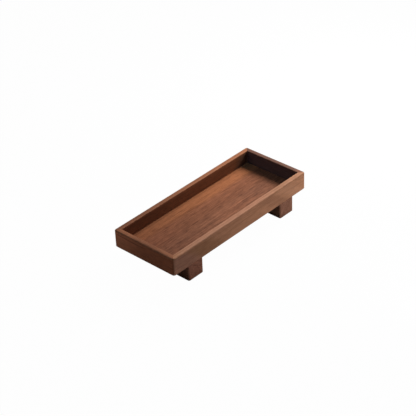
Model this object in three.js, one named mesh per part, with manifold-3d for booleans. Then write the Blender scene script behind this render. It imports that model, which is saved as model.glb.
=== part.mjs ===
// A wooden tea tray: four mitred walls round a flush floor panel, standing on two foot bars.
// Millimetres, +Z up. The origin is on the table under the middle of the tray.
// +X runs along the length of the tray, and -Y is its front.

import * as THREE from 'three';
import { mergeVertices } from 'three/addons/utils/BufferGeometryUtils.js';
import Module from 'manifold-3d';

const wasm = await Module();
wasm.setup();

// Tray body, outside sizes
const length = 285;
const width = 114;
const wallHeight = 28;

// Walls
const wallThickness = 8;
const cornerRadius = 3.5; // upright outer corners
const topEdgeRadius = 2; // outer top edge
const bottomEdgeRadius = 0.8; // outer bottom edge
const innerEdgeRadius = 0.8; // top edge towards the well
const mitreGap = 0.2; // glue line between two mitre faces

// Floor panel, let into a groove round the walls, its underside flush with theirs
const floorThickness = 7;
const tongueThickness = 4;
const grooveDepth = 4;
const swellGap = 0.5; // room for the panel to swell sideways
const tongueGap = 0.1; // sliding room above the tongue

// Foot bars, across the tray under the walls
const footWidth = 29.5;
const footHeight = 25;
const footInset = 28.8; // from the end of the tray to the outer side of the bar
const footCornerRadius = 2.5; // upright edges
const footEdgeRadius = 0.7; // bottom edges

// Loose tongues hidden in the mitred corners
const keyThickness = 2;
const keySideCover = 1.5; // wood left between a key and the faces of the wall
const keyEndCover = 3; // wood left above and below a key

// Dowels between the foot bars and the floor panel
const dowelDiameter = 6;
const dowelLength = 16;
const dowelSpacing = 62; // between the two dowels of one bar
const dowelCover = 2.5; // wood left between a dowel hole and the top of the floor

const glueGap = 0.3; // room for glue round a key or a dowel
const arcDivisions = 3; // a quarter round has twice as many sides
const dowelSides = 24;

// Places that follow from the sizes
const wellLength = length - 2 * wallThickness;
const wellWidth = width - 2 * wallThickness;
const grooveBottom = floorThickness - tongueThickness;
const keyCentre = wallThickness - keySideCover - keyThickness / (2 * Math.SQRT2);
const keyLength = 2 * Math.SQRT2 * (keyCentre - keySideCover) - keyThickness;
const keyBottom = floorThickness + keyEndCover;
const keyHeight = wallHeight - keyEndCover - keyBottom;
const dowelRise = floorThickness - dowelCover - glueGap;
const footCentre = length / 2 - footInset - footWidth / 2;

// Colours of the oiled wood
const WALL_BROWN = 0x80583f;
const END_WALL_BROWN = 0x74503c;
const FLOOR_BROWN = 0x8c5839;
const FOOT_BROWN = 0x704a3c;
const PALE_WOOD = 0xc8a274;

// Geometry to solid and back
function toSolid(geometry) {
  const plain = geometry.clone();
  plain.deleteAttribute('normal');
  plain.deleteAttribute('uv');
  const merged = mergeVertices(plain);
  const vertProperties = new Float32Array(merged.attributes.position.array);
  const triVerts = new Uint32Array(merged.index.array);
  return new wasm.Manifold(new wasm.Mesh({ numProp: 3, vertProperties, triVerts }));
}

function toGeometry(solid) {
  const { vertProperties, triVerts } = solid.getMesh();
  const geometry = new THREE.BufferGeometry();
  geometry.setAttribute('position', new THREE.BufferAttribute(vertProperties, 3));
  geometry.setIndex(new THREE.BufferAttribute(triVerts, 1));
  geometry.computeVertexNormals();
  return geometry;
}

function addPart(parent, name, geometry, color) {
  const material = new THREE.MeshStandardMaterial({ color, roughness: 0.55, metalness: 0 });
  const part = new THREE.Mesh(geometry, material);
  part.name = name;
  parent.add(part);
  return part;
}

// A rectangle about the origin with round corners
function roundedRectangle(sizeX, sizeY, radius) {
  const x = sizeX / 2 - radius;
  const y = sizeY / 2 - radius;
  const outline = new THREE.Shape();
  outline.absarc(x, y, radius, 0, Math.PI / 2);
  outline.absarc(-x, y, radius, Math.PI / 2, Math.PI);
  outline.absarc(-x, -y, radius, Math.PI, 1.5 * Math.PI);
  outline.absarc(x, -y, radius, 1.5 * Math.PI, 2 * Math.PI);
  outline.closePath();
  return outline;
}

// Section of a wall: x runs inwards from the outer face, y runs up from the bottom
function wallSection() {
  const grooveTop = floorThickness + tongueGap;
  const grooveBack = wallThickness - grooveDepth;
  const innerArcX = wallThickness - innerEdgeRadius;
  const innerArcY = wallHeight - innerEdgeRadius;
  const outerArcY = wallHeight - topEdgeRadius;
  const section = new THREE.Shape();
  section.moveTo(bottomEdgeRadius, 0);
  section.lineTo(wallThickness, 0);
  section.lineTo(wallThickness, grooveBottom);
  section.lineTo(grooveBack, grooveBottom);
  section.lineTo(grooveBack, grooveTop);
  section.lineTo(wallThickness, grooveTop);
  section.absarc(innerArcX, innerArcY, innerEdgeRadius, 0, Math.PI / 2);
  section.absarc(topEdgeRadius, outerArcY, topEdgeRadius, Math.PI / 2, Math.PI);
  section.absarc(bottomEdgeRadius, bottomEdgeRadius, bottomEdgeRadius, Math.PI, 1.5 * Math.PI);
  return section;
}

function keyBlock(gap) {
  return new THREE.BoxGeometry(keyLength + 2 * gap, keyThickness + 2 * gap, keyHeight + 2 * gap);
}

// One wall: run is its outside length, across the size of the tray the other way.
// Its outer face lies on y = 0 and it runs along x, with its bottom on z = 0.
function wallGeometry(run, across) {
  const bar = new THREE.ExtrudeGeometry(wallSection(), {
    depth: run,
    bevelEnabled: false,
    curveSegments: arcDivisions,
  });
  bar.applyMatrix4(new THREE.Matrix4().makeBasis(
    new THREE.Vector3(0, 1, 0),
    new THREE.Vector3(0, 0, 1),
    new THREE.Vector3(1, 0, 0),
  ));

  // Each end slopes at 45 degrees to the inner corner
  const points = bar.attributes.position;
  const endTrim = mitreGap / Math.SQRT2;
  for (let i = 0; i < points.count; i += 1) {
    const end = points.getX(i) > run / 2 ? 1 : -1;
    points.setX(i, end * (run / 2 - points.getY(i) - endTrim));
  }

  // The upright corners are rounded over after the mitres
  const roundedBody = new THREE.ExtrudeGeometry(roundedRectangle(run, across, cornerRadius), {
    depth: 3 * wallHeight,
    bevelEnabled: false,
    curveSegments: arcDivisions,
  });
  roundedBody.translate(0, across / 2, -wallHeight);
  let wall = toSolid(bar).intersect(toSolid(roundedBody));

  // A slot in each mitre face takes half of a key
  for (const end of [-1, 1]) {
    const slot = keyBlock(glueGap);
    slot.rotateZ(end * Math.PI / 4);
    slot.translate(end * (run / 2 - keyCentre), keyCentre, keyBottom + keyHeight / 2);
    wall = wall.subtract(toSolid(slot));
  }
  return toGeometry(wall);
}

function dowelPin(radius, pinLength) {
  const pin = new THREE.CylinderGeometry(radius, radius, pinLength, dowelSides);
  pin.rotateX(Math.PI / 2);
  return pin;
}

// A round hole for one half of a dowel, reaching depth to each side of the joint it crosses
function dowelHole(x, y, jointZ, depth) {
  const hole = dowelPin(dowelDiameter / 2 + glueGap, 2 * depth);
  hole.translate(x, y, jointZ);
  return toSolid(hole);
}

// The panel's upper part reaches out as a tongue, and its lower part fills the opening between the walls
function floorGeometry() {
  const reach = grooveDepth - swellGap;
  const upper = new THREE.BoxGeometry(wellLength + 2 * reach, wellWidth + 2 * reach, tongueThickness);
  upper.translate(0, 0, floorThickness - tongueThickness / 2);
  const lower = new THREE.BoxGeometry(wellLength - 2 * swellGap, wellWidth - 2 * swellGap, floorThickness);
  lower.translate(0, 0, floorThickness / 2);
  let panel = toSolid(upper).add(toSolid(lower));
  for (const side of [-1, 1]) {
    for (const face of [-1, 1]) {
      const hole = dowelHole(side * footCentre, face * dowelSpacing / 2, 0, dowelRise + glueGap);
      panel = panel.subtract(hole);
    }
  }
  return toGeometry(panel);
}

// A bar with eased lower edges and a flat top, with its dowel holes in the top
function footGeometry() {
  const eased = new THREE.ExtrudeGeometry(roundedRectangle(footWidth, width, footCornerRadius), {
    depth: footHeight,
    bevelThickness: footEdgeRadius,
    bevelSize: footEdgeRadius,
    bevelOffset: -footEdgeRadius,
    bevelSegments: arcDivisions,
    curveSegments: arcDivisions,
  });
  eased.translate(0, 0, footEdgeRadius);
  const belowTray = new THREE.BoxGeometry(2 * footWidth, 2 * width, 2 * footHeight);
  let bar = toSolid(eased).intersect(toSolid(belowTray));
  for (const face of [-1, 1]) {
    const hole = dowelHole(0, face * dowelSpacing / 2, footHeight, dowelLength - dowelRise + glueGap);
    bar = bar.subtract(hole);
  }
  return toGeometry(bar);
}

const tray = new THREE.Group();

// Walls and floor, lifted onto the foot bars
const body = new THREE.Group();
body.position.z = footHeight;
tray.add(body);

const frontWall = addPart(body, 'front_wall', wallGeometry(length, width), WALL_BROWN);
frontWall.position.y = -width / 2;

const backWall = addPart(body, 'back_wall', wallGeometry(length, width), WALL_BROWN);
backWall.position.y = width / 2;
backWall.rotation.z = Math.PI;

const leftWall = addPart(body, 'left_wall', wallGeometry(width, length), END_WALL_BROWN);
leftWall.position.x = -length / 2;
leftWall.rotation.z = -Math.PI / 2;

const rightWall = addPart(body, 'right_wall', wallGeometry(width, length), END_WALL_BROWN);
rightWall.position.x = length / 2;
rightWall.rotation.z = Math.PI / 2;

addPart(body, 'floor_panel', floorGeometry(), FLOOR_BROWN);

// Keys across the four mitres, and the foot bars with their dowels
const sides = [['left', -1], ['right', 1]];
const faces = [['front', -1], ['back', 1]];

for (const [faceName, face] of faces) {
  for (const [sideName, side] of sides) {
    const key = addPart(body, `corner_key_${faceName}_${sideName}`, keyBlock(0), PALE_WOOD);
    const keyX = side * (length / 2 - keyCentre);
    const keyY = face * (width / 2 - keyCentre);
    key.position.set(keyX, keyY, keyBottom + keyHeight / 2);
    key.rotation.z = -side * face * Math.PI / 4;
  }
}

for (const [sideName, side] of sides) {
  const foot = new THREE.Group();
  foot.position.x = side * footCentre;
  tray.add(foot);
  addPart(foot, `${sideName}_foot`, footGeometry(), FOOT_BROWN);
  for (const [faceName, face] of faces) {
    const pin = dowelPin(dowelDiameter / 2, dowelLength);
    const dowel = addPart(foot, `dowel_${sideName}_${faceName}`, pin, PALE_WOOD);
    dowel.position.set(0, face * dowelSpacing / 2, footHeight + dowelRise - dowelLength / 2);
  }
}

export default tray;
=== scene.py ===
# A small wooden tea tray on two foot bars, finished piece by piece in the order that it is glued up.
# Metres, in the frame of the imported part: +X along the tray, -Y its front, +Z up, the table at z = 0.

import math

import bmesh
import bpy
from mathutils import Color, Matrix, Vector


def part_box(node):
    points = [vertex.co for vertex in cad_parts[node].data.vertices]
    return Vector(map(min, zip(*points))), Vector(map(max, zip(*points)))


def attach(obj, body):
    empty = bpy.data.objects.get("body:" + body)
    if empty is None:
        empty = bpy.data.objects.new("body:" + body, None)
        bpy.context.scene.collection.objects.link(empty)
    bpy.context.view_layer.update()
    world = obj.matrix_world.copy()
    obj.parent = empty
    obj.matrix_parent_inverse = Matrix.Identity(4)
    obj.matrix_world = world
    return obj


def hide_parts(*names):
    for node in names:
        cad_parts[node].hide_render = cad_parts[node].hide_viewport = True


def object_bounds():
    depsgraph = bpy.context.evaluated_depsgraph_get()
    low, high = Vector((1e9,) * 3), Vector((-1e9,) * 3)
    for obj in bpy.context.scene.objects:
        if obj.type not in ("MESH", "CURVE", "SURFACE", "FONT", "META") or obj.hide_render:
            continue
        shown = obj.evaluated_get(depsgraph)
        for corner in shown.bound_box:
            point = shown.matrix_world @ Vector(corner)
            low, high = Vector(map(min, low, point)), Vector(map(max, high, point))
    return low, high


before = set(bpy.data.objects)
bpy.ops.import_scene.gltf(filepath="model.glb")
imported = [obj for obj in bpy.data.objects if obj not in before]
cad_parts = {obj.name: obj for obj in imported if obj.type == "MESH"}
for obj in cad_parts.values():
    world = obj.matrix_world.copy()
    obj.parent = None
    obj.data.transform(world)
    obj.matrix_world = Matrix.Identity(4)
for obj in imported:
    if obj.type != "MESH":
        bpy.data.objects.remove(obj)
cad_low, cad_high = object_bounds()


# Floor board
# One board of brown hardwood, planed, sanded and oiled, with its grain along the tray. A tongue left
# all round its upper part slides into the grooves of the sides. Its underside lies flush with theirs.

board_low, board_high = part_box("floor_panel")
TONGUE_THICKNESS = 0.004
TONGUE_REACH = 0.004
UNDERSIDE_ROUND = (0.0004, 3)  # here and below: the radius of an edge, and the flats that make it up
PINS = ("left_front", "left_back", "right_front", "right_back")
PIN_ROOM = 0.0003
DRILL_SIDES = 48
TOUCH = 1e-6  # two heights closer than this are one
UPRIGHT = 0.1  # a face stands upright where its normal rises less than this
SOFT_ANGLE = math.radians(32)  # flatter edges than this are shaded smooth
OIL_SHINE = 0.065


def saw_block(name, low, high):
    """A squared block of wood between two corners, alone in the selection."""
    bpy.ops.object.select_all(action="DESELECT")
    bpy.ops.mesh.primitive_cube_add(size=1, location=(low + high) / 2, scale=high - low)
    bpy.ops.object.transform_apply(location=True, rotation=True, scale=True)
    block = bpy.context.object
    block.name = name
    return block


def pick(piece, mode, wanted):
    """Selects, in edit mode, only the faces or edges that a test wants."""
    bpy.ops.mesh.select_mode(type=mode)
    bpy.ops.mesh.select_all(action="DESELECT")
    shape = bmesh.from_edit_mesh(piece.data)
    for item in (shape.faces if mode == "FACE" else shape.edges):
        if wanted(item):
            item.select_set(True)
    bmesh.update_edit_mesh(piece.data)


def ease(piece, wanted, rounding):
    """Rounds over the edges that a test wants, as sandpaper does. A single flat is a chamfer."""
    radius, flats = rounding
    pick(piece, "EDGE", wanted)
    bpy.ops.mesh.bevel(offset=radius, segments=flats, affect="EDGES", clamp_overlap=False)


def lies_at(height):
    """A test for edges that lie flat at one height."""
    return lambda edge: all(abs(corner.co.z - height) < TOUCH for corner in edge.verts)


def stands_up(face):
    """A test for the upright faces of a piece."""
    return abs(face.normal.z) < UPRIGHT


def cut_away(piece, cutter):
    """Cuts the cutter's shape out of a piece and throws the cutter away."""
    bpy.ops.object.select_all(action="DESELECT")
    bpy.context.view_layer.objects.active = piece
    cut = piece.modifiers.new("cut", "BOOLEAN")
    cut.solver = "EXACT"
    cut.object = cutter
    bpy.ops.object.modifier_apply(modifier=cut.name)
    bpy.data.objects.remove(cutter)


def drill(piece, pin):
    """Drills the hole for one pin, a little wider and longer than the pin."""
    low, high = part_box("dowel_" + pin)
    bpy.ops.object.select_all(action="DESELECT")
    bpy.ops.mesh.primitive_cylinder_add(
        vertices=DRILL_SIDES,
        radius=(high.x - low.x) / 2 + PIN_ROOM,
        depth=high.z - low.z + 2 * PIN_ROOM,
        location=(low + high) / 2,
    )
    cut_away(piece, bpy.context.object)


def hand_over(piece, node, finish):
    """Smooths the eased edges, gives the piece its finish and stands it in for its node."""
    bpy.ops.object.select_all(action="DESELECT")
    bpy.context.view_layer.objects.active = piece
    piece.select_set(True)
    bpy.ops.object.shade_smooth_by_angle(angle=SOFT_ANGLE)
    shading = piece.modifiers.new("shading", "WEIGHTED_NORMAL")
    shading.keep_sharp = True
    bpy.ops.object.modifier_apply(modifier=shading.name)
    piece.data.materials.clear()
    piece.data.materials.append(finish)
    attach(piece, "root")
    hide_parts(node)


class Tint:
    """One socket of a material. Arithmetic on values adds Math nodes."""

    def __init__(self, tree, socket):
        self.tree = tree
        self.socket = socket

    def make(self, kind, settings, sockets, output=0):
        """Adds a node: its settings first, then the values or links of its sockets."""
        node = self.tree.nodes.new(kind)
        for name, value in settings.items():
            if name == "stops":
                while len(node.color_ramp.elements) < len(value):
                    node.color_ramp.elements.new(1.0)
                for stop, (position, colour) in zip(node.color_ramp.elements, value):
                    stop.position = position
                    stop.color = colour
            else:
                setattr(node, name, value)
        for name, value in sockets.items():
            if isinstance(value, Tint):
                self.tree.links.new(value.socket, node.inputs[name])
            else:
                node.inputs[name].default_value = value
        return Tint(self.tree, node.outputs[output])

    def math(self, operation, *values):
        return self.make("ShaderNodeMath", {"operation": operation}, dict(enumerate(values)))

    def __add__(self, other):
        return self.math("ADD", self, other)

    __radd__ = __add__

    def __sub__(self, other):
        return self.math("SUBTRACT", self, other)

    def __rsub__(self, other):
        return self.math("SUBTRACT", other, self)

    def __mul__(self, other):
        return self.math("MULTIPLY", self, other)

    __rmul__ = __mul__

    def __abs__(self):
        return self.math("ABSOLUTE", self)

    def most(self, other):
        return self.math("MAXIMUM", self, other)

    def root(self):
        return self.math("SQRT", self)

    def between(self, low, high):
        """0 below low, 1 above high and a smooth rise from one to the other."""
        settings = {"interpolation_type": "SMOOTHSTEP"}
        sockets = {"Value": self, "From Min": low, "From Max": high}
        return self.make("ShaderNodeMapRange", settings, sockets)

    def stretched(self, scale, shift):
        """A point scaled along each axis and moved on, to lay out a pattern."""
        settings = {"operation": "MULTIPLY_ADD"}
        return self.make("ShaderNodeVectorMath", settings, {0: self, 1: scale, 2: shift})

    def noise(self, scale, shift=(0, 0, 0), detail=2.0, rough=0.5):
        """Soft noise in space, with its own scale along each axis."""
        point = self.stretched(scale, shift)
        sockets = {"Vector": point, "Scale": 1.0, "Detail": detail, "Roughness": rough}
        return self.make("ShaderNodeTexNoise", {}, sockets)

    def line_noise(self, scale, shift, detail=2.0, rough=0.5):
        """Noise along one line, for a value that counts years of growth."""
        sockets = {"W": self * scale + shift, "Scale": 1.0, "Detail": detail, "Roughness": rough}
        return self.make("ShaderNodeTexNoise", {"noise_dimensions": "1D"}, sockets)

    def mixed(self, first, second, blend="MIX"):
        """Two colours mixed by this value."""
        settings = {"data_type": "RGBA", "blend_type": blend}
        return self.make("ShaderNodeMix", settings, {0: self, 6: first, 7: second}, output=2)

    def toned(self, colour, red, green, blue):
        """A colour multiplied by a factor for each part, where this value is 1."""
        return self.mixed(colour, (red, green, blue, 1.0), "MULTIPLY")


def tone(red, green, blue):
    """A colour as a shader takes it, from screen values of 0 to 255."""
    screen = Color((red / 255, green / 255, blue / 255))
    return (*screen.from_srgb_to_scene_linear(), 1.0)


def shaded(colour, red, green, blue):
    """A colour made darker or lighter, by a factor for each part."""
    return (colour[0] * red, colour[1] * green, colour[2] * blue, 1.0)


def hardwood(name, box, fibres, heart, mean, contrast, seed, figure=None, shine=OIL_SHINE):
    """Sanded hardwood. Its fibres run along X or Y, and heart is where the middle of the tree lay, across
    and above the middle of the board, so that growth rings run through every face as they would. A figure
    lays the bands and patches of one board over its colour, and on some pieces painted light and shade."""
    finish = bpy.data.materials.new(name)
    finish.use_nodes = True
    tree = finish.node_tree
    shader = tree.nodes["Principled BSDF"]
    place = Tint(tree, tree.nodes.new("ShaderNodeTexCoord").outputs["Object"])
    x, y, z = (place.make("ShaderNodeSeparateXYZ", {}, {0: place}, output=axis) for axis in range(3))
    along, across = (x, y) if fibres == "X" else (y, x)
    fibre = place.make("ShaderNodeCombineXYZ", {}, {"X": along, "Y": across, "Z": z})
    middle = (box[0] + box[1]) / 2
    half = (box[1] - box[0]) / 2
    middle_across = middle.y if fibres == "X" else middle.x

    # Growth rings, wandering a little along the board. Scales are per metre along, across and up.
    sway = fibre.noise((4, 7, 7), (seed, 0, 0), detail=1.0) - 0.5
    ripple = fibre.noise((22, 50, 50), (0, seed, 0)) - 0.5
    wander = sway * 0.010 + ripple * 0.0010
    out_across = across - (middle_across + heart[0]) + wander
    out_up = z - (middle.z + heart[1]) + wander
    radius = (out_across * out_across + out_up * out_up).root()
    season = radius.line_noise(150.0, seed) - 0.5
    late_wood = radius.line_noise(430.0, seed + 7, detail=3.0, rough=0.65) - 0.5

    # Fibres, pores and slow changes of tone
    strands = fibre.noise((60, 640, 640), (0, 0, seed), detail=4.0, rough=0.65) - 0.5
    pores = fibre.noise((75, 2600, 2600), (seed, seed, 0), detail=1.0).between(0.60, 0.74)
    streaks = fibre.noise((24, 360, 360), (seed, 0, seed), detail=3.0).between(0.55, 0.70)
    mottle = fibre.noise((90, 190, 190), (0, seed, seed), detail=3.0, rough=0.6) - 0.5
    cloud = fibre.noise((9, 26, 26), (seed, 0, 0)) - 0.5

    shade = 0.5 + season * 0.32 + late_wood * 0.6 + strands * 1.05 + mottle * 0.5 + cloud * 0.35
    dark = shaded(mean, 1 - 0.46 * contrast, 1 - 0.50 * contrast, 1 - 0.53 * contrast)
    light = shaded(mean, 1 + 0.40 * contrast, 1 + 0.42 * contrast, 1 + 0.44 * contrast)
    stops = [(0.2, dark), (0.5, mean), (0.8, light)]
    colour = shade.make("ShaderNodeValToRGB", {"stops": stops}, {"Fac": shade})
    if figure:
        # The figure may paint light and shade as well as the board's own bands.
        colour = figure(colour, x, y, z, wander)
    colour = (streaks * 0.5 * contrast).mixed(colour, tone(190, 178, 172), "MULTIPLY")
    colour = (pores * 0.5 * contrast).mixed(colour, tone(150, 132, 124), "MULTIPLY")

    # Sanding leaves a board a little paler along its edges, where its two nearest faces meet
    to_side = half.x - abs(x - middle.x)
    to_face = half.y - abs(y - middle.y)
    to_top = half.z - abs(z - middle.z)
    from_edge = to_side + to_face + to_top - to_side.most(to_face).most(to_top)
    patchy = fibre.noise((90, 220, 220), (seed, 0, 0)).between(0.25, 0.75)
    rubbed = (1 - from_edge.between(0.0002, 0.0028)) * patchy
    colour = (rubbed * 0.5).mixed(colour, shaded(mean, 1.22, 1.24, 1.26))

    rise = strands * 0.7 + late_wood * 0.3 - pores * 0.9 - streaks * 0.3
    bump = rise.make("ShaderNodeBump", {}, {"Strength": 0.35, "Distance": 0.00012, "Height": rise})
    rough = 0.60 + strands * 0.16 + pores * 0.16 - rubbed * 0.05
    tree.links.new(colour.socket, shader.inputs["Base Color"])
    tree.links.new(rough.socket, shader.inputs["Roughness"])
    tree.links.new(bump.socket, shader.inputs["Normal"])
    shader.inputs["Specular IOR Level"].default_value = shine
    return finish


def floor_figure(colour, x, y, z, wander):
    """Orange along the back, greyer along the front and darker at the left end, with two patches."""
    row = y + wander * 0.5
    orange = row.between(0.022, 0.036) * (0.6 + x.between(-0.06, 0.0) * 0.4)
    grey = 1 - row.between(-0.012, 0.010)
    dark_end = 1 - (x + y * 0.5 + wander).between(-0.10, -0.02)
    dark_patch = (1 - abs(row + 0.008).between(0.002, 0.009)) * x.between(0.045, 0.080)
    pale_run = x.between(-0.02, 0.02) - x.between(0.06, 0.085)
    pale_patch = (1 - abs(row + 0.018).between(0.004, 0.011)) * pale_run
    colour = orange.toned(colour, 1.50, 1.46, 1.17)
    colour = (orange * 0.6).mixed(colour, tone(150, 91, 57))
    colour = grey.toned(colour, 1.05, 1.12, 1.18)
    colour = dark_end.toned(colour, 0.91, 0.89, 0.91)
    colour = dark_patch.toned(colour, 0.83, 0.82, 0.83)
    return pale_patch.toned(colour, 1.15, 1.13, 1.12)


core_low = board_low + Vector((TONGUE_REACH, TONGUE_REACH, 0))
core_high = board_high - Vector((TONGUE_REACH, TONGUE_REACH, 0))
floor_board = saw_block("floor_board", core_low, core_high)
bpy.ops.object.mode_set(mode="EDIT")
tongue_bottom = board_high.z - TONGUE_THICKNESS
bpy.ops.mesh.bisect(plane_co=(0, 0, tongue_bottom), plane_no=(0, 0, 1))
pick(floor_board, "FACE", lambda face: stands_up(face) and face.calc_center_median().z > tongue_bottom)
bpy.ops.mesh.extrude_region()
bpy.ops.transform.shrink_fatten(value=TONGUE_REACH, use_even_offset=True)
ease(floor_board, lies_at(board_low.z), UNDERSIDE_ROUND)
bpy.ops.object.mode_set(mode="OBJECT")
for pin in PINS:
    drill(floor_board, pin)

floor_finish = hardwood(
    "oiled floor board", (board_low, board_high), "X",
    heart=(-0.20, -0.08), mean=tone(119, 71, 47), contrast=1.05, seed=3.1, figure=floor_figure,
)
hand_over(floor_board, "floor_panel", floor_finish)


# Sides and ends
# Four strips of the same wood, mitred at the corners and glued round the floor board. They are sanded
# as one frame after gluing, so the upright corners and outer edges are rounded through the mitres.

frame_low = Vector((cad_low.x, cad_low.y, board_low.z))
frame_high = cad_high.copy()
WALL_THICKNESS = 0.008
CORNER_ROUND = (0.0035, 8)
TOP_ROUND = (0.002, 6)
BOTTOM_ROUND = (0.0008, 5)
INNER_ROUND = (0.0008, 4)
GLUE_LINE = 0.00004
MITRE_CHAMFER = (0.0001, 1)
GROOVE_DEPTH = 0.004
GROOVE_ROOM = 0.0001
CORNERS = ("front_left", "front_right", "back_left", "back_right")
KEY_THICKNESS = 0.002
KEY_ROOM = 0.0003
SAME_WAY = 0.99  # two directions are one where their dot product is above this
RIM_FADE = (0.0005, 0.0035)  # depths below the top where the rim's tone turns into the faces'
FACE_FADE = (0.003, 0.005)  # depths under the outer face where its tone turns into the inner face's


def rises(edge):
    """A test for the upright edges of a block or a pin."""
    return abs(edge.verts[0].co.z - edge.verts[1].co.z) > TOUCH


def settle(piece, place, turn=0.0):
    """Turns the selected piece about Z, moves it to its place and leaves both in its mesh."""
    piece.rotation_euler.z = turn
    piece.location = place
    bpy.ops.object.transform_apply(location=True, rotation=True, scale=True)


def key_block(room):
    """A key that lies along X at the origin, with room to spare on every side."""
    low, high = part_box("corner_key_" + CORNERS[0])
    key_length = (high.x - low.x) * math.sqrt(2) - KEY_THICKNESS
    half = Vector((key_length, KEY_THICKNESS, high.z - low.z)) / 2 + Vector((room, room, room))
    return saw_block("key", -half, half)


def lay_across_mitre(block, corner):
    """Moves a key's block to one corner of the frame, at 45 degrees across the mitre."""
    low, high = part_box("corner_key_" + corner)
    middle = (low + high) / 2
    settle(block, middle, -math.copysign(math.pi / 4, middle.x * middle.y))


def wall_strip(name, out, corners):
    """One strip of the frame, on the side that out points to, with its groove and its key slots."""
    strip = saw_block(name, frame_low, frame_high)
    bpy.ops.object.mode_set(mode="EDIT")
    ease(strip, rises, CORNER_ROUND)
    ease(strip, lies_at(frame_high.z), TOP_ROUND)
    ease(strip, lies_at(frame_low.z), BOTTOM_ROUND)

    # Sawn from the frame at its inner face and at the two mitres
    reach = Vector((frame_high.x, frame_high.y, 0))
    run = Vector((-out.y, out.x, 0))
    inner_face = Vector((out.x * reach.x, out.y * reach.y, 0)) - out * WALL_THICKNESS
    mitres = [(run - out).normalized(), (-run - out).normalized()]
    tips = [Vector((way.x * reach.x, way.y * reach.y, 0)) for way in (out + run, out - run)]
    bpy.ops.mesh.select_all(action="SELECT")
    bpy.ops.mesh.bisect(plane_co=inner_face, plane_no=-out, use_fill=True, clear_outer=True)
    for tip, mitre in zip(tips, mitres):
        bpy.ops.mesh.select_all(action="SELECT")
        cut = tip - mitre * GLUE_LINE
        bpy.ops.mesh.bisect(plane_co=cut, plane_no=mitre, use_fill=True, clear_outer=True)

    def on_inner_rim(edge):
        normals = [face.normal for face in edge.link_faces]
        on_top = any(normal.z > SAME_WAY for normal in normals)
        return on_top and any(normal.dot(-out) > SAME_WAY for normal in normals)

    def on_mitre(edge):
        sawn = [any(face.normal.dot(mitre) > SAME_WAY for mitre in mitres) for face in edge.link_faces]
        return sawn.count(True) == 1

    ease(strip, on_inner_rim, INNER_ROUND)
    ease(strip, on_mitre, MITRE_CHAMFER)
    bpy.ops.object.mode_set(mode="OBJECT")

    wood_behind = WALL_THICKNESS - GROOVE_DEPTH
    inset = Vector((wood_behind, wood_behind, 0))
    groove_low = Vector((frame_low.x, frame_low.y, tongue_bottom)) + inset
    groove_high = Vector((frame_high.x, frame_high.y, board_high.z + GROOVE_ROOM)) - inset
    cut_away(strip, saw_block("groove", groove_low, groove_high))
    for corner in corners:
        slot = key_block(KEY_ROOM)
        lay_across_mitre(slot, corner)
        cut_away(strip, slot)
    return strip


def below_rim(z):
    """1 on the faces of a strip and 0 on its top edge, so that the faces take tones of their own, painted
    light and shade on some of them.
    """
    return (frame_high.z - z).between(*RIM_FADE)


def towards_well(depth):
    """0 on the outer face of a strip and 1 on its inner face, by the depth under the outer face."""
    return depth.between(*FACE_FADE)


def front_figure(colour, x, y, z, wander):
    """Painted light: the faces are lighter than the rim. There are darker and paler slanting bands,
    greyer at the left end, and both ends of the rim are darker.
    """
    slant = x + (z - frame_low.z - 0.015) * 1.4 + wander * 2.0
    face = below_rim(z)
    left_end = 1 - slant.between(-0.112, -0.090)
    left_band = 1 - slant.between(-0.066, -0.046)
    right_band = slant.between(0.045, 0.060) * (1 - slant.between(0.076, 0.088))
    pale_band = slant.between(0.082, 0.100) * (1 - slant.between(0.112, 0.126) * 0.7)
    # Painted light: the faces of the strip are made lighter than its rim.
    colour = face.toned(colour, 1.14, 1.16, 1.13)
    colour = (left_end * face).toned(colour, 1.10, 1.11, 1.40)
    colour = (left_band * face).toned(colour, 0.79, 0.78, 0.72)
    colour = (right_band * face).toned(colour, 0.84, 0.83, 0.84)
    colour = (pale_band * face).toned(colour, 1.13, 1.18, 1.22)
    colour = ((1 - face) * (1 - x.between(-0.140, -0.112))).toned(colour, 0.90, 0.86, 0.76)
    return ((1 - face) * x.between(0.03, 0.09)).toned(colour, 0.82, 0.83, 0.78)


def back_figure(colour, x, y, z, wander):
    """Darker towards the left end. Painted shade: the faces are darker than the rim, and a slanting
    painted shadow of the right end lies on the inner face at its right end."""
    face = below_rim(z)
    inner_face = face * towards_well(frame_high.y - y)
    slant = x - (z - board_high.z) + wander
    colour = (1 - (x + wander).between(-0.10, -0.01)).toned(colour, 0.79, 0.76, 0.79)
    colour = (x + wander).between(0.02, 0.08).toned(colour, 1.08, 1.08, 1.06)
    # Painted shade: the faces are darkened against the rim.
    colour = face.toned(colour, 0.81, 0.86, 0.88)
    # Painted shadow: a slanting dark patch on the inner face, where the right end casts its shadow.
    return (inner_face * slant.between(0.094, 0.118)).toned(colour, 0.60, 0.86, 1.20)


def left_figure(colour, x, y, z, wander):
    """The outer face is redder than the rim and, as painted light, paler towards the back, and the inner
    face is darker. A dark growth line runs near the top, and the rim is darkest in the middle."""
    face = below_rim(z)
    outer_face = face * (1 - towards_well(x - frame_low.x))
    line_height = frame_high.z - 0.0070 + y * 0.03 - wander * 0.2
    growth_line = 1 - abs(z - line_height).between(0.0004, 0.0014)
    colour = outer_face.toned(colour, 1.12, 0.96, 0.86)
    colour = (face - outer_face).toned(colour, 0.78, 0.84, 0.92)
    colour = ((1 - face) * (1 - abs(y + wander).between(0.010, 0.032))).toned(colour, 0.83, 0.82, 0.82)
    colour = (growth_line * y.between(-0.005, 0.020)).toned(colour, 0.70, 0.64, 0.62)
    # Painted light: the outer face grows paler towards the back.
    return (outer_face * (y + wander).between(-0.005, 0.045)).toned(colour, 1.46, 1.56, 1.72)


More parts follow.
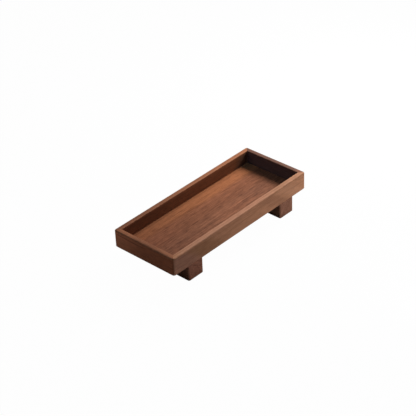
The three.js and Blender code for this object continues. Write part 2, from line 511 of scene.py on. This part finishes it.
def right_figure(colour, x, y, z, wander):
    """The inner face is greyer than the rim, partly as painted shade: its cool cast is the colour of the
    shade in that end. The rim is paler at its front end.
    """
    face = below_rim(z)
    inner_face = face * towards_well(frame_high.x - x)
    # Painted shade: the inner face takes the greyer, cooler colour of the shade in that end.
    colour = inner_face.toned(colour, 0.92, 1.18, 1.60)
    colour = (face - inner_face).toned(colour, 1.16, 1.12, 1.08)
    return ((1 - face) * (1 - y.between(-0.052, -0.036))).toned(colour, 1.58, 1.42, 1.24)


def fit_strip(place, kind, out, fibres, slot, **wood):
    """Saws the strip at one place of the frame, gives it its wood and stands it in for its wall."""
    wall = place + "_wall"
    strip = wall_strip(f"{place}_{kind}", out, [corner for corner in CORNERS if place in corner])
    finish = hardwood(f"oiled {place} {kind}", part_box(wall), fibres, **wood)
    hand_over(strip, wall, finish)


fit_strip(
    "front", "side", Vector((0, -1, 0)), "X", "wall_wood",
    heart=(-0.05, -0.012), mean=tone(165, 113, 84), contrast=0.45, seed=11.7, figure=front_figure,
)
fit_strip(
    "back", "side", Vector((0, 1, 0)), "X", "wall_wood",
    heart=(0.06, 0.01), mean=tone(138, 87, 59), contrast=0.6, seed=23.3, figure=back_figure,
)
fit_strip(
    "left", "end", Vector((-1, 0, 0)), "Y", "end_wall_wood",
    heart=(-0.05, 0.006), mean=tone(139, 86, 58), contrast=0.6, seed=31.9, figure=left_figure,
)
fit_strip(
    "right", "end", Vector((1, 0, 0)), "Y", "end_wall_wood",
    heart=(0.05, -0.008), mean=tone(95, 63, 49), contrast=0.6, seed=47.3, figure=right_figure,
)


# Corner keys
# Thin loose tongues of bare pale wood, glued across the mitres and out of sight. Their edges are broken
# so that they slide into their slots.

KEY_ROUND = (0.0003, 2)
PALE_WOOD = tone(200, 162, 116)
PALE_CONTRAST = 0.4


def copy_of(pattern, name):
    """A copy of a piece with a mesh of its own, alone in the selection."""
    bpy.ops.object.select_all(action="DESELECT")
    bpy.context.view_layer.objects.active = pattern
    pattern.select_set(True)
    bpy.ops.object.duplicate(linked=False)
    piece = bpy.context.object
    piece.name = name
    return piece


key_pattern = key_block(0)
bpy.ops.object.mode_set(mode="EDIT")
ease(key_pattern, lambda edge: True, KEY_ROUND)
bpy.ops.object.mode_set(mode="OBJECT")

for corner in CORNERS:
    node = "corner_key_" + corner
    key = copy_of(key_pattern, "key_" + corner)
    lay_across_mitre(key, corner)
    key_finish = hardwood(
        "bare key wood " + corner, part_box(node), "Y",
        heart=(0.03, 0.0), mean=PALE_WOOD, contrast=PALE_CONTRAST, seed=5.3,
    )
    hand_over(key, node, key_finish)
bpy.data.objects.remove(key_pattern)


# Foot bars
# Two square bars of the same wood laid across under the tray, their ends flush with its sides. Their
# grain runs across the tray, so their front and back show end grain.

left_low, left_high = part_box("left_foot")
right_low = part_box("right_foot")[0]
FOOT_CORNER_ROUND = (0.0025, 6)
FOOT_EDGE_ROUND = (0.0007, 5)
FOOT_CONTRAST = 0.6
FOOT_SHINE = 0.01
END_FADE = (0.0005, 0.0025)  # depths under the end grain where its tone turns into the long sides'


def foot_figure(colour, x, y, z, wander):
    """Painted shade: the long sides of the bar are darker than its ends, as the shade under the tray."""
    painted_shade_sides = (frame_high.y - abs(y)).between(*END_FADE)
    # Painted shade on the long sides of the bar.
    return painted_shade_sides.toned(colour, 0.56, 0.62, 0.58)


def finish_foot(bar, hand, **wood):
    """Gives one bar its wood and stands it in for its foot."""
    foot = hand + "_foot"
    finish = hardwood(
        f"oiled {hand} foot bar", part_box(foot), "Y",
        contrast=FOOT_CONTRAST, figure=foot_figure, shine=FOOT_SHINE, **wood,
    )
    hand_over(bar, foot, finish)


left_bar = saw_block("left_foot_bar", left_low, left_high)
bpy.ops.object.mode_set(mode="EDIT")
ease(left_bar, rises, FOOT_CORNER_ROUND)
ease(left_bar, lies_at(left_low.z), FOOT_EDGE_ROUND)
bpy.ops.object.mode_set(mode="OBJECT")
for pin in PINS:
    if "left" in pin:
        drill(left_bar, pin)
right_bar = copy_of(left_bar, "right_foot_bar")
settle(right_bar, right_low - left_low)

finish_foot(left_bar, "left", heart=(0.03, 0.05), mean=tone(158, 104, 83), seed=61.1)
finish_foot(right_bar, "right", heart=(-0.045, 0.03), mean=tone(148, 102, 82), seed=73.7)


# Dowels
# Pale fluted pins, glued upright between each foot bar and the floor board. Their ends are chamfered
# and their flutes let the glue rise.

pin_low, pin_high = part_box("dowel_" + PINS[0])
PIN_CHAMFER = (0.0006, 1)
PIN_SIDES = 36
SIDES_PER_FLUTE = 3
FLUTE_DEPTH = 0.00018
FLUTE_EDGE = 0.00006


def takes_flute(side):
    """A test for the upright sides of a pin at the origin that get a flute."""
    middle = side.calc_center_median()
    turned = math.atan2(middle.y, middle.x) / (2 * math.pi)
    return stands_up(side) and round(turned * PIN_SIDES - 0.5) % SIDES_PER_FLUTE == 0


bpy.ops.object.select_all(action="DESELECT")
bpy.ops.mesh.primitive_cylinder_add(
    vertices=PIN_SIDES, radius=(pin_high.x - pin_low.x) / 2, depth=pin_high.z - pin_low.z
)
pin_pattern = bpy.context.object
bpy.ops.object.mode_set(mode="EDIT")
ease(pin_pattern, lambda edge: not rises(edge), PIN_CHAMFER)
pick(pin_pattern, "FACE", takes_flute)
bpy.ops.mesh.inset(thickness=FLUTE_EDGE, use_individual=True)
bpy.ops.transform.shrink_fatten(value=-FLUTE_DEPTH)
bpy.ops.object.mode_set(mode="OBJECT")

for pin in PINS:
    node = "dowel_" + pin
    low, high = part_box(node)
    dowel = copy_of(pin_pattern, "pin_" + pin)
    settle(dowel, (low + high) / 2)
    pin_finish = hardwood(
        "bare pin wood " + node, (low, high), "X",
        heart=(0.02, 0.0), mean=PALE_WOOD, contrast=PALE_CONTRAST, seed=8.9,
    )
    hand_over(dowel, node, pin_finish)
bpy.data.objects.remove(pin_pattern)


# Table and light
# A plain white table that fills the view. A wide soft lamp stands close beyond the right end of the
# tray, and a low card in front lights the long side and the feet. Two weak lamps, one at the back left
# and a cool one overhead, fill the shadows.

LAMP_PLACE = Vector((0.59, 0.03, 0.446))
LAMP_SIZE = 0.36
LAMP_POWER = 9.2
CARD_PLACE = Vector((0.20, -0.36, 0.040))
CARD_SIZE = Vector((0.36, 0.07))
CARD_POWER = 0.36
FILL_PLACE = Vector((-0.34, 0.20, 0.36))
FILL_SIZE = 0.20
FILL_POWER = 0.21
TOP_PLACE = Vector((-0.10, 0.0, 0.55))
TOP_SIZE = 0.12
TOP_POWER = 0.28
TOP_TINT = (0.35, 1.0, 1.75)
SKY = 0.02
TABLE_WHITE = 0.5
TABLE_SPREAD = 12.0
VEIL = 0.985  # how far the eye sees plain white in place of the lit table

bpy.ops.object.select_all(action="DESELECT")
bpy.ops.mesh.primitive_plane_add(size=TABLE_SPREAD)
table = bpy.context.object
table.name = "table"
table_paint = bpy.data.materials.new("white table")
table_paint.use_nodes = True
tree = table_paint.node_tree
tree.nodes.remove(tree.nodes["Principled BSDF"])


def looked_at(tree):
    """1 for rays that show the background to the eye, straight or in a reflection."""
    path = tree.nodes.new("ShaderNodeLightPath")
    seen = Tint(tree, path.outputs["Is Camera Ray"])
    seen = seen.most(Tint(tree, path.outputs["Is Glossy Ray"]))
    return seen.most(Tint(tree, path.outputs["Is Transmission Ray"]))


seen = looked_at(tree)
paint = seen.make("ShaderNodeBsdfDiffuse", {}, {"Color": (TABLE_WHITE, TABLE_WHITE, TABLE_WHITE, 1)})
glow = seen.make("ShaderNodeEmission", {}, {"Color": (1, 1, 1, 1), "Strength": 1.0})
surface = seen.make("ShaderNodeMixShader", {}, {0: seen * VEIL, 1: paint, 2: glow})
tree.links.new(surface.socket, tree.nodes["Material Output"].inputs["Surface"])
table.data.materials.append(table_paint)

room = bpy.data.worlds.new("room")
bpy.context.scene.world = room
room.use_nodes = True
sky = room.node_tree.nodes["Background"]
level = looked_at(room.node_tree) * (1 - SKY) + SKY
room.node_tree.links.new(level.socket, sky.inputs["Strength"])
sky.inputs["Color"].default_value = (1, 1, 1, 1)

tray_middle = (cad_low + cad_high) / 2


def round_lamp(name, place, size, power, tint=(1.0, 1.0, 1.0)):
    """A round soft lamp turned towards the tray."""
    bpy.ops.object.light_add(type="AREA", location=place)
    lamp = bpy.context.object
    lamp.name = name
    lamp.rotation_euler = (tray_middle - place).to_track_quat("-Z", "Y").to_euler()
    lamp.data.shape = "DISK"
    lamp.data.size = size
    lamp.data.energy = power
    lamp.data.color = tint


round_lamp("soft_lamp", LAMP_PLACE, LAMP_SIZE, LAMP_POWER)
round_lamp("fill_lamp", FILL_PLACE, FILL_SIZE, FILL_POWER)
round_lamp("top_lamp", TOP_PLACE, TOP_SIZE, TOP_POWER, TOP_TINT)

bpy.ops.object.light_add(type="AREA", location=CARD_PLACE, rotation=(math.pi / 2, 0, 0))
card = bpy.context.object
card.name = "low_card"
card.data.shape = "RECTANGLE"
card.data.size = CARD_SIZE.x
card.data.size_y = CARD_SIZE.y
card.data.energy = CARD_POWER


# Camera
# A long lens from the front left, about two metres away and looking down at the tray. Its target and
# roll put the tray where it stands in the square picture.

CAMERA_AZIMUTH = math.radians(-46.68)
CAMERA_ELEVATION = math.radians(33.69)
CAMERA_ROLL = math.radians(-2.44)
CAMERA_DISTANCE = 2.0209
CAMERA_TARGET = Vector((0.0361, 0.0428, 0.0024))
CAMERA_LENS = 117.3

bpy.ops.object.camera_add()
camera = bpy.context.object
turn = Matrix.Rotation(CAMERA_AZIMUTH, 4, "Z") @ Matrix.Rotation(math.pi / 2 - CAMERA_ELEVATION, 4, "X")
turn = turn @ Matrix.Rotation(CAMERA_ROLL, 4, "Z")
back_away = turn @ Vector((0, 0, CAMERA_DISTANCE))
camera.matrix_world = Matrix.Translation(CAMERA_TARGET + back_away) @ turn
camera.data.lens = CAMERA_LENS
bpy.context.scene.camera = camera
bpy.context.scene.view_settings.view_transform = "Standard"
